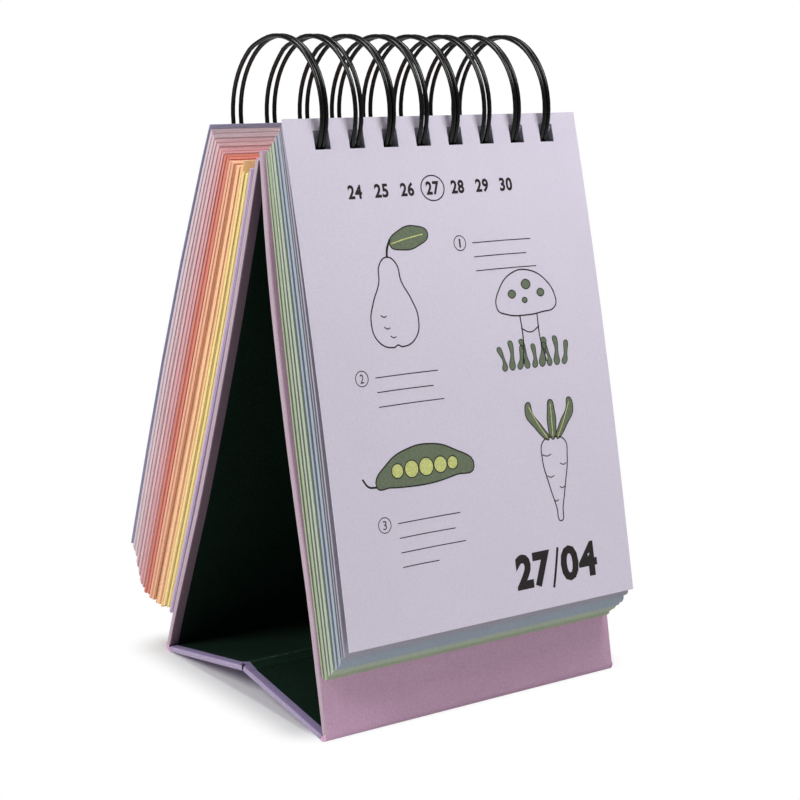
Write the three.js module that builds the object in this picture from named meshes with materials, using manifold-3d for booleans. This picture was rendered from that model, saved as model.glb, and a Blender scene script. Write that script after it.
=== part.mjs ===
// Desk flip calendar: a block of day leaves on twin-loop wire, hung over a folding board easel.
// Units are millimetres. +Z is up, +Y points to the back, X runs along the wire.

import * as THREE from "three";
import { mergeVertices } from "three/addons/utils/BufferGeometryUtils.js";
import Module from "manifold-3d";

const wasm = await Module();
wasm.setup();

// Driving dimensions of the easel
const panelWidth = 118;
const rearPanelLength = 172.1;
const frontPanelExtra = 2.8;
const footHalfSpan = 43.3;
const footPivotHeight = 1.95;
const baseRise = THREE.MathUtils.degToRad(10.2);
const apexGap = 0.35;
const wrapPaper = 0.25;
const coreBoard = 1.4;
const glueLine = 0.05;
const turnIn = 5.5;
const hingeGap = 0.3;
const hingePaper = 0.3;
const footRadius = 2.1;
const creaseReach = 4;
const creaseBead = 0.35;
const creaseBeadReach = 0.8;
const creaseLift = 0.1;

// Driving dimensions of the wire
const wireDiameter = 1.4;
const ringRadius = 23.3;
const frontHoleFromTop = 9.33;
const rearHoleFromTop = 10.19;
const loopCount = 8;
const loopPitch = 12.7;
const pairSpacingRear = 2.9;
const pairSpacingFront = 1.9;
const leanPerLoop = 0.14;
const spineGapToRearPanel = 0.46;
const tipReachPastFrontPanel = 1.9;
const spineCornerRadius = 1.1;
const stepsPerLoop = 24;
const wireSides = 6;

// Driving dimensions of the leaves
const leafWidth = 115.5;
const leafLength = 157;
const holeSize = 5.7;
const holeCentreFromTop = 6.5;
const frontLift = 0.6;
const rearLift = 1.1;
const blockGap = 0.1;
const frontLeafPaper = 0.2;
const cardThickness = 1.5;
const cardStandoff = 0.6;
const rearBlockStandoff = 0.3;
const frontBlockStandoff = 0.3;
const dayGapAtWire = 0.25;
const dayGapAtFoot = 2.3;
const frontPitch = { atWire: 0.084, atFoot: 0.112 };
const rearPitch = { atWire: 0.1015, atFoot: 0.118 };

// Leaves that hang in front, from the board outwards, and leaves already turned to the back
const frontMonths = [
  { name: "december", leaves: 31, colour: "#A0AB8D" },
  { name: "november", leaves: 30, colour: "#B4BDB0" },
  { name: "october", leaves: 31, colour: "#A3ABBE" },
  { name: "september", leaves: 19, colour: "#A9A6AC" },
];
const turnedMonths = [
  { name: "january", leaves: 31, colour: "#E8D795" },
  { name: "february", leaves: 28, colour: "#D9A566" },
  { name: "march", leaves: 31, colour: "#E6B795" },
  { name: "april", leaves: 30, colour: "#F0A898" },
  { name: "may", leaves: 31, colour: "#E08B7D" },
  { name: "june", leaves: 30, colour: "#DFA9B5" },
  { name: "july", leaves: 31, colour: "#DDBFC8" },
  { name: "august", leaves: 31, colour: "#C6B2BE" },
  { name: "september_turned", leaves: 10, colour: "#9A9BBC" },
];

// Sizes worked out from the driving dimensions
const panelThickness = 2 * wrapPaper + 2 * glueLine + coreBoard;
const frontPanelLength = rearPanelLength + frontPanelExtra;
const boardTilt = Math.asin((footHalfSpan - apexGap / 2) / rearPanelLength);
const basePanelLength = (footHalfSpan - panelThickness * Math.sin(baseRise)) / Math.cos(baseRise);
const wireRadius = wireDiameter / 2;

// Materials
const paint = (color, roughness, metalness = 0) => {
  return new THREE.MeshStandardMaterial({ color, roughness, metalness });
};
const wrapMaterial = paint("#A9869C", 0.85);
const coreMaterial = paint("#9B9690", 0.95);
const linerMaterial = paint("#12221A", 0.8);
const wireMaterial = paint("#1A1A1E", 0.35, 0.2);
const cardMaterial = paint("#8A7E96", 0.8);
const dayMaterial = paint("#D6D0E4", 0.75);

const calendar = new THREE.Group();

function addMesh(parent, name, geometry, material) {
  const mesh = new THREE.Mesh(geometry, material);
  mesh.name = name;
  parent.add(mesh);
  return mesh;
}

// Boolean helpers on closed meshes
function toSolid(geometry) {
  const bare = geometry.clone();
  bare.deleteAttribute("normal");
  bare.deleteAttribute("uv");
  const merged = mergeVertices(bare, 1e-5);
  return new wasm.Manifold(new wasm.Mesh({
    numProp: 3,
    vertProperties: Float32Array.from(merged.attributes.position.array),
    triVerts: Uint32Array.from(merged.index.array),
  }));
}

function toGeometry(solid) {
  const mesh = solid.getMesh();
  const geometry = new THREE.BufferGeometry();
  geometry.setAttribute("position", new THREE.BufferAttribute(mesh.vertProperties, 3));
  geometry.setIndex(new THREE.BufferAttribute(mesh.triVerts, 1));
  geometry.computeVertexNormals();
  return geometry;
}

function boxSolid(x, y, z) {
  const geometry = new THREE.BoxGeometry(x[1] - x[0], y[1] - y[0], z[1] - z[0]);
  geometry.translate((x[0] + x[1]) / 2, (y[0] + y[1]) / 2, (z[0] + z[1]) / 2);
  return toSolid(geometry);
}

function cutAll(solid, tools) {
  return tools.reduce((left, tool) => left.subtract(tool), solid);
}

// A closed mesh from points and triangles, turned so that its faces point out
function closedGeometry(points, triangles) {
  const volume = triangles.reduce((sum, [a, b, c]) => {
    return sum + points[a].dot(new THREE.Vector3().crossVectors(points[b], points[c]));
  }, 0);
  const facing = volume > 0 ? triangles : triangles.map(([a, b, c]) => [a, c, b]);
  const geometry = new THREE.BufferGeometry().setFromPoints(points);
  geometry.setIndex(facing.flat());
  geometry.computeVertexNormals();
  return geometry;
}

// X places of the loops, shared by the wire and by every punched hole
const loopPlaces = Array.from({ length: loopCount }, (_, i) => (i - (loopCount - 1) / 2) * loopPitch);

// Panels are built with the foot pivot at the origin, +Z along the panel and -Y outwards
const side = (sign, lift) => ({
  lift,
  pivot: new THREE.Vector2(sign * footHalfSpan, footPivotHeight),
  up: new THREE.Vector2(-sign * Math.sin(boardTilt), Math.cos(boardTilt)),
  out: new THREE.Vector2(sign * Math.cos(boardTilt), Math.sin(boardTilt)),
});
const frontSide = side(-1, frontLift);
const rearSide = side(1, rearLift);

// Distance from the foot pivot to the middle of the wire holes of each upright panel
const frontStation = frontPanelLength - frontHoleFromTop;
const rearStation = rearPanelLength - rearHoleFromTop;

// The ring runs through the holes of both upright panels, so its radius gives its centre
const holeMiddle = (place, station) => place.pivot.clone()
  .addScaledVector(place.up, station)
  .addScaledVector(place.out, panelThickness / 2);
const frontHole = holeMiddle(frontSide, frontStation);
const betweenHoles = holeMiddle(rearSide, rearStation).sub(frontHole);
const ringCentre = frontHole.clone()
  .addScaledVector(betweenHoles, 0.5)
  .addScaledVector(
    new THREE.Vector2(-betweenHoles.y, betweenHoles.x).normalize(),
    Math.sqrt(ringRadius * ringRadius - betweenHoles.lengthSq() / 4),
  );

// Where a line from start along direction leaves the ring, as a distance along the line
function ringCrossing(start, direction) {
  const fromCentre = start.clone().sub(ringCentre);
  const along = fromCentre.dot(direction);
  return -along + Math.sqrt(along * along - fromCentre.lengthSq() + ringRadius * ringRadius);
}

function holeCutters(station) {
  const half = holeSize / 2;
  return loopPlaces.map((x) => boxSolid(
    [x - half, x + half],
    [-panelThickness - 1, 1],
    [station - half, station + half],
  ));
}

// Core board, wrap paper with its turn-ins, and liner of one panel
function makePanel(name, length, station, topIsFree) {
  const group = new THREE.Group();
  const halfWidth = panelWidth / 2;
  const start = hingeGap;
  const end = topIsFree ? length : length - hingeGap;
  const holes = station === null ? [] : holeCutters(station);
  const skin = wrapPaper + glueLine;
  const topWall = topIsFree ? skin : 0;
  const topTurnIn = topIsFree ? turnIn : 0;
  const past = 1;

  const core = cutAll(boxSolid(
    [-halfWidth + skin, halfWidth - skin],
    [-panelThickness + skin, -skin],
    [start, end - topWall],
  ), holes);
  addMesh(group, `${name}_core`, toGeometry(core), coreMaterial);

  const shell = boxSolid([-halfWidth, halfWidth], [-panelThickness, 0], [start, end]);
  const cavity = boxSolid(
    [-halfWidth + wrapPaper, halfWidth - wrapPaper],
    [-panelThickness + wrapPaper, -wrapPaper],
    [start - past, topIsFree ? end - wrapPaper : end + past],
  );
  const window = boxSolid(
    [-halfWidth + turnIn, halfWidth - turnIn],
    [-wrapPaper - past / 2, past],
    [start - past, topIsFree ? end - topTurnIn : end + past],
  );
  addMesh(group, `${name}_wrap`, toGeometry(cutAll(shell, [cavity, window, ...holes])), wrapMaterial);

  const liner = cutAll(boxSolid(
    [-halfWidth + turnIn + glueLine, halfWidth - turnIn - glueLine],
    [-wrapPaper, 0],
    [start, topIsFree ? end - topTurnIn - glueLine : end],
  ), holes);
  addMesh(group, `${name}_liner`, toGeometry(liner), linerMaterial);
  return group;
}

// Upright panels lean together, and the base halves rise to the crease with their wrap underneath
function placePanel(panel, angle, wrapBelow, atRear) {
  panel.rotation.z = wrapBelow ? Math.PI : 0;
  const leaning = new THREE.Group();
  leaning.add(panel);
  leaning.position.set(0, -footHalfSpan, footPivotHeight);
  leaning.rotation.x = -angle;
  const facing = new THREE.Group();
  facing.add(leaning);
  facing.rotation.z = atRear ? Math.PI : 0;
  calendar.add(facing);
}

const baseAngle = Math.PI / 2 - baseRise;
placePanel(makePanel("front_board", frontPanelLength, frontStation, true), boardTilt, false, false);
placePanel(makePanel("rear_board", rearPanelLength, rearStation, true), boardTilt, false, true);
placePanel(makePanel("base_front", basePanelLength, null, false), baseAngle, true, false);
placePanel(makePanel("base_rear", basePanelLength, null, false), baseAngle, true, true);

// A strip of paper with this outline in Y and Z, as wide as the panels
function stripGeometry(outline) {
  const shape = new THREE.Shape(outline);
  const geometry = new THREE.ExtrudeGeometry(shape, { depth: panelWidth, bevelEnabled: false });
  geometry.translate(0, 0, -panelWidth / 2);
  geometry.rotateY(Math.PI / 2);
  geometry.rotateX(Math.PI / 2);
  return geometry;
}

// Paper round each foot, from the board's outer face to the base, with a flat to stand on
function footOutline() {
  const from = Math.PI - boardTilt;
  const to = 1.5 * Math.PI + baseRise;
  const floorAngle = Math.PI + Math.asin(footPivotHeight / footRadius);
  const steps = 10;
  const angles = Array.from({ length: steps + 1 }, (_, i) => from + (to - from) * i / steps);
  angles.push(floorAngle);
  angles.sort((a, b) => a - b);
  const at = (radius, angle) => new THREE.Vector2(
    -footHalfSpan + radius * Math.cos(angle),
    Math.max(0, footPivotHeight + radius * Math.sin(angle)),
  );
  const outer = angles.filter((a) => a <= floorAngle || a === to).map((a) => at(footRadius, a));
  const inner = angles.map((a) => at(footRadius - hingePaper, a)).reverse();
  return [...outer, ...inner];
}

function makeFoot(name, atRear) {
  const facing = new THREE.Group();
  facing.rotation.z = atRear ? Math.PI : 0;
  addMesh(facing, name, stripGeometry(footOutline()), wrapMaterial);
  calendar.add(facing);
}

makeFoot("front_foot_hinge", false);
makeFoot("rear_foot_hinge", true);

// Pinched paper over the crease of the base, with a low bead along the fold
function creaseOutline() {
  const ridge = new THREE.Vector2(
    0,
    footPivotHeight + footHalfSpan * Math.tan(baseRise),
  );
  const profile = [
    [-creaseReach, 0],
    [-creaseBeadReach, 0],
    [0, creaseBead],
    [creaseBeadReach, 0],
    [creaseReach, 0],
  ];
  const at = ([s, height], lift) => new THREE.Vector2(
    s * Math.cos(baseRise) + Math.sign(s) * (height + lift) * Math.sin(baseRise),
    ridge.y - Math.abs(s) * Math.sin(baseRise) + (height + lift) * Math.cos(baseRise),
  );
  const lower = profile.map((p) => at(p, creaseLift));
  const upper = profile.map((p) => at(p, creaseLift + hingePaper)).reverse();
  return [...lower, ...upper];
}

addMesh(calendar, "base_crease_hinge", stripGeometry(creaseOutline()), linerMaterial);

// One flat face of a leaf or block: where it hangs on the wire and which way it runs down.
// The lift is how far the middle of its holes sits above the wire.
function leafFace(place, length, atWire, atFoot) {
  const topCorner = place.pivot.clone()
    .addScaledVector(place.up, length)
    .addScaledVector(place.out, panelThickness);
  const high = topCorner.clone().addScaledVector(place.out, atWire);
  const low = topCorner.clone()
    .addScaledVector(place.up, -leafLength)
    .addScaledVector(place.out, atFoot);
  const down = low.sub(high).normalize();
  const hang = ringCrossing(high, down) - holeCentreFromTop - place.lift;
  const top = high.clone().addScaledVector(down, hang);
  return {
    top,
    bottom: top.clone().addScaledVector(down, leafLength),
    at: (x, s) => new THREE.Vector3(x, top.x + down.x * s, top.y + down.y * s),
  };
}

// A closed solid between two four-cornered faces
function betweenFaces(inner, outer) {
  const points = [...inner, ...outer];
  const triangles = [[0, 2, 1], [0, 3, 2], [4, 5, 6], [4, 6, 7]];
  for (let i = 0; i < 4; i += 1) {
    const j = (i + 1) % 4;
    triangles.push([i, j, j + 4], [i, j + 4, i + 4]);
  }
  return toSolid(closedGeometry(points, triangles));
}

// A block of leaves between two faces, punched so that each hole follows the wire
function blockGeometry(inner, outer) {
  const corners = (face, x0, x1, s0, s1) => [
    face.at(x0, s0),
    face.at(x1, s0),
    face.at(x1, s1),
    face.at(x0, s1),
  ];
  const rim = [-leafWidth / 2, leafWidth / 2, 0, leafLength];
  const block = betweenFaces(corners(inner, ...rim), corners(outer, ...rim));
  const half = holeSize / 2;
  const punches = loopPlaces.map((x) => {
    const hole = [x - half, x + half, holeCentreFromTop - half, holeCentreFromTop + half];
    const near = corners(inner, ...hole);
    const far = corners(outer, ...hole);
    const through = near.map((p, i) => far[i].clone().sub(p).normalize());
    return betweenFaces(
      near.map((p, i) => p.clone().sub(through[i])),
      far.map((p, i) => p.clone().add(through[i])),
    );
  });
  return toGeometry(cutAll(block, punches));
}

// Blocks of one side, from the board outwards; returns the offsets of the outermost face
function makeBlocks(months, place, length, pitch, startWire, startFoot) {
  let atWire = startWire;
  let atFoot = startFoot;
  for (const month of months) {
    const nextWire = atWire + month.leaves * pitch.atWire;
    const nextFoot = atFoot + month.leaves * pitch.atFoot;
    const inner = leafFace(place, length, atWire + blockGap, atFoot + blockGap);
    const outer = leafFace(place, length, nextWire, nextFoot);
    addMesh(calendar, `leaves_${month.name}`, blockGeometry(inner, outer), paint(month.colour, 0.85));
    atWire = nextWire;
    atFoot = nextFoot;
  }
  return { atWire, atFoot, face: leafFace(place, length, atWire, atFoot) };
}

const cardInner = leafFace(rearSide, rearPanelLength, cardStandoff, cardStandoff);
const cardOuterOffset = cardStandoff + cardThickness;
const cardOuter = leafFace(rearSide, rearPanelLength, cardOuterOffset, cardOuterOffset);
addMesh(calendar, "cover_card", blockGeometry(cardInner, cardOuter), cardMaterial);

const rearStart = cardOuterOffset + rearBlockStandoff;
const turned = makeBlocks(turnedMonths, rearSide, rearPanelLength, rearPitch, rearStart, rearStart);
const hanging = makeBlocks(
  frontMonths, frontSide, frontPanelLength, frontPitch, frontBlockStandoff, frontBlockStandoff,
);

const dayWire = hanging.atWire + dayGapAtWire;
const dayFoot = hanging.atFoot + dayGapAtFoot;
const dayInner = leafFace(frontSide, frontPanelLength, dayWire, dayFoot);
const dayOuter = leafFace(
  frontSide, frontPanelLength, dayWire + frontLeafPaper, dayFoot + frontLeafPaper,
);
addMesh(calendar, "front_leaf", blockGeometry(dayInner, dayOuter), dayMaterial);

// Ring angles, counted from +Y towards +Z, where the wire meets a flat face of an upright panel
function ringAngleOnPanel(place, length) {
  const top = place.pivot.clone().addScaledVector(place.up, length);
  const down = place.up.clone().negate();
  const met = top.addScaledVector(down, ringCrossing(top, down));
  const angle = Math.atan2(met.y - ringCentre.y, met.x - ringCentre.x);
  return angle < 0 ? angle + 2 * Math.PI : angle;
}

// The spine lies just inside the rear board, and the loop tips end just inside the front board
const rearMeeting = ringAngleOnPanel(rearSide, rearPanelLength);
const frontMeeting = ringAngleOnPanel(frontSide, frontPanelLength);
const rearSlope = Math.abs(Math.sin(rearMeeting + boardTilt));
const spineBack = (wireRadius + spineGapToRearPanel) / rearSlope;
const spineAngle = rearMeeting - spineBack / ringRadius - 2 * Math.PI;
const tipAngle = frontMeeting + tipReachPastFrontPanel / ringRadius;

// Half the spacing of a pair, wide at the back and drawn in towards the tips
function halfSpacing(angle) {
  const share = THREE.MathUtils.smoothstep(angle, Math.PI / 6, Math.PI);
  return THREE.MathUtils.lerp(pairSpacingRear, pairSpacingFront, share) / 2;
}

// How far a loop leans towards -X at its front
function lean(loop, angle) {
  return -leanPerLoop * loop * THREE.MathUtils.smoothstep(angle, Math.PI / 6, Math.PI);
}

function ringPoint(x, angle) {
  return new THREE.Vector3(
    x,
    ringCentre.x + ringRadius * Math.cos(angle),
    ringCentre.y + ringRadius * Math.sin(angle),
  );
}

// One wire runs through all loops: up the left leg, round the tip, down the right leg, along the spine
function wirePath() {
  const points = [];
  const cornerAngle = spineCornerRadius / ringRadius;
  const legStart = spineAngle + cornerAngle;
  const tipRadius = pairSpacingFront / 2;
  const legEnd = tipAngle - tipRadius / ringRadius;
  const cornerSteps = 3;
  const tipSteps = 6;
  loopPlaces.forEach((x, loop) => {
    const leg = (hand) => Array.from({ length: stepsPerLoop + 1 }, (_, i) => {
      const angle = legStart + (legEnd - legStart) * i / stepsPerLoop;
      return ringPoint(x + hand * halfSpacing(angle) + lean(loop, angle), angle);
    });
    const corner = (hand) => Array.from({ length: cornerSteps }, (_, i) => {
      const turn = (i / cornerSteps) * Math.PI / 2;
      const outwards = spineCornerRadius * (1 - Math.sin(turn));
      return ringPoint(
        x + hand * (pairSpacingRear / 2 + outwards),
        spineAngle + cornerAngle * (1 - Math.cos(turn)),
      );
    });
    const tip = Array.from({ length: tipSteps - 1 }, (_, i) => {
      const turn = ((i + 1) / tipSteps) * Math.PI;
      return ringPoint(
        x + lean(loop, Math.PI) - tipRadius * Math.cos(turn),
        legEnd + (tipRadius * Math.sin(turn)) / ringRadius,
      );
    });
    points.push(...corner(-1), ...leg(-1), ...tip, ...leg(1).reverse(), ...corner(1).reverse());
  });
  return points;
}

// A closed tube of even section along a path, its section carried along without twist
function tubeGeometry(path, radius, sides) {
  const points = [];
  const triangles = [];
  const direction = (i) => path[Math.min(i + 1, path.length - 1)].clone()
    .sub(path[Math.max(i - 1, 0)]).normalize();
  const across = new THREE.Vector3(0, 0, 1).cross(direction(0)).normalize();
  path.forEach((place, i) => {
    const along = direction(i);
    across.addScaledVector(along, -across.dot(along)).normalize();
    const up = new THREE.Vector3().crossVectors(along, across);
    for (let k = 0; k < sides; k += 1) {
      const turn = (k / sides) * 2 * Math.PI;
      points.push(place.clone()
        .addScaledVector(across, radius * Math.cos(turn))
        .addScaledVector(up, radius * Math.sin(turn)));
    }
  });
  const rings = path.length;
  for (let i = 0; i + 1 < rings; i += 1) {
    for (let k = 0; k < sides; k += 1) {
      const a = i * sides + k;
      const b = i * sides + (k + 1) % sides;
      triangles.push([a, b, b + sides], [a, b + sides, a + sides]);
    }
  }
  for (let k = 1; k + 1 < sides; k += 1) {
    const last = (rings - 1) * sides;
    triangles.push([0, k + 1, k], [last, last + k, last + k + 1]);
  }
  return closedGeometry(points, triangles);
}

// Least clear distance between stretches of the tube that are not neighbours along it
function leastGap(path, diameter) {
  const fine = [];
  const spacing = 0.3;
  let travelled = 0;
  for (let i = 0; i + 1 < path.length; i += 1) {
    const length = path[i].distanceTo(path[i + 1]);
    const parts = Math.max(1, Math.ceil(length / spacing));
    for (let k = 0; k < parts; k += 1) {
      fine.push({ at: path[i].clone().lerp(path[i + 1], k / parts), s: travelled + length * k / parts });
    }
    travelled += length;
  }
  const apart = Math.PI * pairSpacingFront / 2 - spacing;
  let least = Infinity;
  fine.forEach((a, i) => {
    for (let j = i + 1; j < fine.length; j += 1) {
      const b = fine[j];
      if (b.s - a.s > apart && Math.abs(b.at.x - a.at.x) < loopPitch) {
        least = Math.min(least, a.at.distanceTo(b.at));
      }
    }
  });
  return least - diameter;
}

const path = wirePath();
console.log(`binding wire: least gap to itself ${leastGap(path, wireDiameter).toFixed(2)} mm`);
addMesh(calendar, "binding_wire", tubeGeometry(path, wireRadius, wireSides), wireMaterial);

// The origin is under the middle of the standing calendar
calendar.position.y = -(dayOuter.bottom.x + turned.face.bottom.x) / 2;

export default calendar;
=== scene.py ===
# Looks of a desk flip calendar: leaves on twin-loop wire over a folding board easel.
# Shapes are worked in millimetres on a flat bench and then placed on the easel in metres.

import math
import random

import bmesh
import bpy
from mathutils import Matrix, Vector

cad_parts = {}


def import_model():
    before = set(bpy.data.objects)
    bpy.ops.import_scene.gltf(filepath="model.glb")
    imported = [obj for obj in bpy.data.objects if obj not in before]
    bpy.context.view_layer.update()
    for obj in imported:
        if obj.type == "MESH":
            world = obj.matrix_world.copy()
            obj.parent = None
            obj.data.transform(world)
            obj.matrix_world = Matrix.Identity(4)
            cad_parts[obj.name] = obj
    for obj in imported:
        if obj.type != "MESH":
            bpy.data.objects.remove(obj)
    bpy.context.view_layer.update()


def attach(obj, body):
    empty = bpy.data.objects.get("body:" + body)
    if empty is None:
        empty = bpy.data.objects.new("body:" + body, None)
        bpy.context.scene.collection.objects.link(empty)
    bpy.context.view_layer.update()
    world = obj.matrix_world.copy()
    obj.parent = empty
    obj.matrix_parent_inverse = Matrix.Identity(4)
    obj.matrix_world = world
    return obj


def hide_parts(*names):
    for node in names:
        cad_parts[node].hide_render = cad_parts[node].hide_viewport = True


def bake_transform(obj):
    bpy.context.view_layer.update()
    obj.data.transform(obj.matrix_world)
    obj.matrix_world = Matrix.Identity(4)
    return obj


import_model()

MM = 0.001

# Easel, as in the part
PANEL_WIDTH = 118.0
REAR_LENGTH = 172.1
FRONT_LENGTH = REAR_LENGTH + 2.8
FOOT_SPAN = 43.3
FOOT_HEIGHT = 1.95
BASE_RISE = math.radians(10.2)
APEX_GAP = 0.35
PAPER = 0.25
PANEL = 2.0
HINGE_GAP = 0.3
HINGE_PAPER = 0.3
BOARD_TILT = math.asin((FOOT_SPAN - APEX_GAP / 2) / REAR_LENGTH)
BASE_LENGTH = (FOOT_SPAN - PANEL * math.sin(BASE_RISE)) / math.cos(BASE_RISE)

# Easel, in the looks alone
BOARD_TURN_IN = 3.2
BASE_TURN_IN = 2.6
GLUE = 0.02
EDGE_ROUND = 0.42
BEND_STEP = 8.5
SWELL = 0.35
FOOT_ROUND = 2.03
FOOT_PUFF = 0.06
FOOT_PAPER = 1.7
FOOT_STEPS = 16

# Wire, as in the part
WIRE = 1.4
RING = 23.3
FRONT_HOLE = 9.33
REAR_HOLE = 10.19
LOOPS = 8
PITCH = 12.7
SPINE_GAP = 0.46
TIP_REACH = 1.9
SPINE_CORNER = 1.1

# Leaves, as in the part
LEAF_WIDTH = 115.5
LEAF_LENGTH = 157.0
HOLE = 5.7
HOLE_DOWN = 6.5
BLOCK_GAP = 0.1
CARD_THICKNESS = 1.5
CARD_STANDOFF = 0.6
STANDOFF = 0.3
DAY_GAP_WIRE = 0.25
DAY_GAP_FOOT = 2.3
DAY_THICKNESS = 0.2
FRONT_PITCH = (0.084, 0.112)
REAR_PITCH = (0.1015, 0.118)

# Thickness of one sheet of each kind, in the looks alone
FRONT_SHEET = 0.074
REAR_SHEET = 0.09
CARD_SHEET = 0.42
DAY_SHEET = 0.16

FRONT_MONTHS = [
    ("december", 31, "green_paper"),
    ("november", 30, "grey_green_paper"),
    ("october", 31, "blue_grey_paper"),
    ("september", 19, "grey_lilac_paper"),
]
TURNED_MONTHS = [
    ("january", 31, "yellow_paper"),
    ("february", 28, "orange_paper"),
    ("march", 31, "peach_paper"),
    ("april", 30, "light_coral_paper"),
    ("may", 31, "coral_paper"),
    ("june", 30, "pink_paper"),
    ("july", 31, "dusty_pink_paper"),
    ("august", 31, "mauve_paper"),
    ("september_turned", 10, "slate_lilac_paper"),
]

# Tints of the papers
TINTS = {
    "green_paper": "#A8B39A",
    "grey_green_paper": "#B3BDAC",
    "blue_grey_paper": "#A5AFBB",
    "grey_lilac_paper": "#ABA8B4",
    "yellow_paper": "#E5CE8D",
    "orange_paper": "#E9BE8A",
    "peach_paper": "#EBBC94",
    "light_coral_paper": "#E0A98C",
    "coral_paper": "#CE7F70",
    "pink_paper": "#D09C9F",
    "dusty_pink_paper": "#CFACB1",
    "mauve_paper": "#CDB9BF",
    "slate_lilac_paper": "#A2A1BA",
}
DAY_TINT = "#D6CFDF"
INK = "#241F20"
PRINT_GREEN = "#66715C"
PRINT_LIGHT = "#C3C77E"
COVERING = "#CEA6C2"
COVERING_LIGHT = "#DABBD4"
# Painted shade: a darker copy of the covering, for the boards' turn-ins
COVERING_PAINTED_SHADE = "#74606D"
# Painted light: a greyer copy of the covering, for the boards' side faces
EDGE_PAINTED_LIGHT = "#B29EAA"
COVERING_BASE = "#A496B2"
COVERING_BASE_LIGHT = "#B6AAC2"
# Painted shade: a darker copy of the base's covering, for its turn-ins
BASE_PAINTED_SHADE = "#84789A"
LINING = "#12221A"
FLECKS = "#D3BFD0"
# Painted light: a paler copy of February's orange, for its leaves that stand up
FEBRUARY_PAINTED_LIGHT = "#F4CE9E"
CARD = "#B6A5C0"
FOLD_LINE_TINT = "#6E8272"
NYLON = "#040405"
NYLON_SCUFFED = "#0C0C0E"

# Strength of the lights
FLOOR_GLOW = 0.01
SKY = 0.2
KEY = 0.12
FILL = 8.1
TOP = 1.1
OVERHEAD = 1.25


# Small helpers

def linear(code):
    """An sRGB hex value as linear colour."""
    parts = [int(code[i:i + 2], 16) / 255 for i in (1, 3, 5)]
    return [c / 12.92 if c <= 0.04045 else ((c + 0.055) / 1.055) ** 2.4 for c in parts] + [1.0]


def smooth_share(value, low, high):
    share = min(1.0, max(0.0, (value - low) / (high - low)))
    return share * share * (3 - 2 * share)


def add_node(tree, kind, settings=None, links=None):
    """Adds a node with its settings and with the sockets that feed it."""
    made = tree.nodes.new(kind)
    for key, value in (settings or {}).items():
        if isinstance(key, str) and hasattr(made, key):
            setattr(made, key, value)
        else:
            made.inputs[key].default_value = value
    for key, source in (links or {}).items():
        tree.links.new(source, made.inputs[key])
    return made


def new_material(name):
    """An empty material, its nodes, and the coordinates it can read."""
    made = bpy.data.materials.new(name)
    made.use_nodes = True
    tree = made.node_tree
    tree.nodes.clear()
    return made, tree, add_node(tree, "ShaderNodeTexCoord").outputs


def nothing_selected():
    if bpy.context.object and bpy.context.object.mode != "OBJECT":
        bpy.ops.object.mode_set(mode="OBJECT")
    bpy.ops.object.select_all(action="DESELECT")


def select_only(*pieces):
    nothing_selected()
    for piece in pieces:
        piece.select_set(True)
    bpy.context.view_layer.objects.active = pieces[0]


def slab(name, low, high):
    """A block between two corners on the bench, ready to be shaped."""
    nothing_selected()
    middle = [(a + b) / 2 for a, b in zip(low, high)]
    size = [b - a for a, b in zip(low, high)]
    bpy.ops.mesh.primitive_cube_add(size=1, location=middle, scale=size)
    piece = bpy.context.object
    piece.name = name
    bpy.ops.object.transform_apply(location=True, rotation=True, scale=True)
    return piece


def flat_sheet(name, low, high):
    nothing_selected()
    middle = [(low[0] + high[0]) / 2, (low[1] + high[1]) / 2, 0]
    bpy.ops.mesh.primitive_plane_add(size=1, location=middle)
    piece = bpy.context.object
    piece.name = name
    piece.scale = (high[0] - low[0], high[1] - low[1], 1)
    bpy.ops.object.transform_apply(location=True, rotation=True, scale=True)
    return piece


def shape_of(piece):
    return bmesh.from_edit_mesh(piece.data)


def edit(piece):
    select_only(piece)
    bpy.ops.object.mode_set(mode="EDIT")


def pick(piece, kind, test):
    """In edit mode, selects the faces, edges or points whose middle passes the test."""
    bpy.ops.mesh.select_mode(type=kind)
    bpy.ops.mesh.select_all(action="DESELECT")
    shape = shape_of(piece)
    for item in {"FACE": shape.faces, "EDGE": shape.edges, "VERT": shape.verts}[kind]:
        if kind == "FACE":
            middle, way = item.calc_center_median(), item.normal
        elif kind == "EDGE":
            a, b = item.verts[0].co, item.verts[1].co
            middle, way = (a + b) / 2, (b - a).normalized()
        else:
            middle, way = item.co, item.normal
        if test(middle, way):
            item.select_set(True)
    shape.select_flush_mode()
    bmesh.update_edit_mesh(piece.data)


def cut(place, normal):
    """Cuts the picked faces along a plane and keeps them picked."""
    bpy.ops.mesh.bisect(plane_co=place, plane_no=normal, threshold=1e-4)


def done(piece):
    bpy.ops.object.mode_set(mode="OBJECT")
    piece.data.update()


def finish_with(piece, kind, **settings):
    select_only(piece)
    modifier = piece.modifiers.new(kind.lower(), kind)
    for key, value in settings.items():
        setattr(modifier, key, value)
    bpy.ops.object.modifier_apply(modifier=modifier.name)


def change_all(piece, operator, **settings):
    """Runs one of Blender's mesh operators on the whole piece."""
    edit(piece)
    bpy.ops.mesh.select_all(action="SELECT")
    operator(**settings)
    done(piece)


def mend_normals(piece):
    change_all(piece, bpy.ops.mesh.normals_make_consistent, inside=False)


def paint(piece, *finishes):
    """Gives the piece these materials and no others."""
    piece.data.materials.clear()
    for finish in finishes:
        piece.data.materials.append(finish)


def mesh_from(name, curve):
    """A mesh piece from a curve or a text."""
    piece = bpy.data.objects.new(name, curve)
    bpy.context.scene.collection.objects.link(piece)
    select_only(piece)
    bpy.ops.object.convert(target="MESH")
    return bpy.context.object


def soft_edges(piece, angle):
    select_only(piece)
    bpy.ops.object.shade_smooth_by_angle(angle=math.radians(angle))


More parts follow.
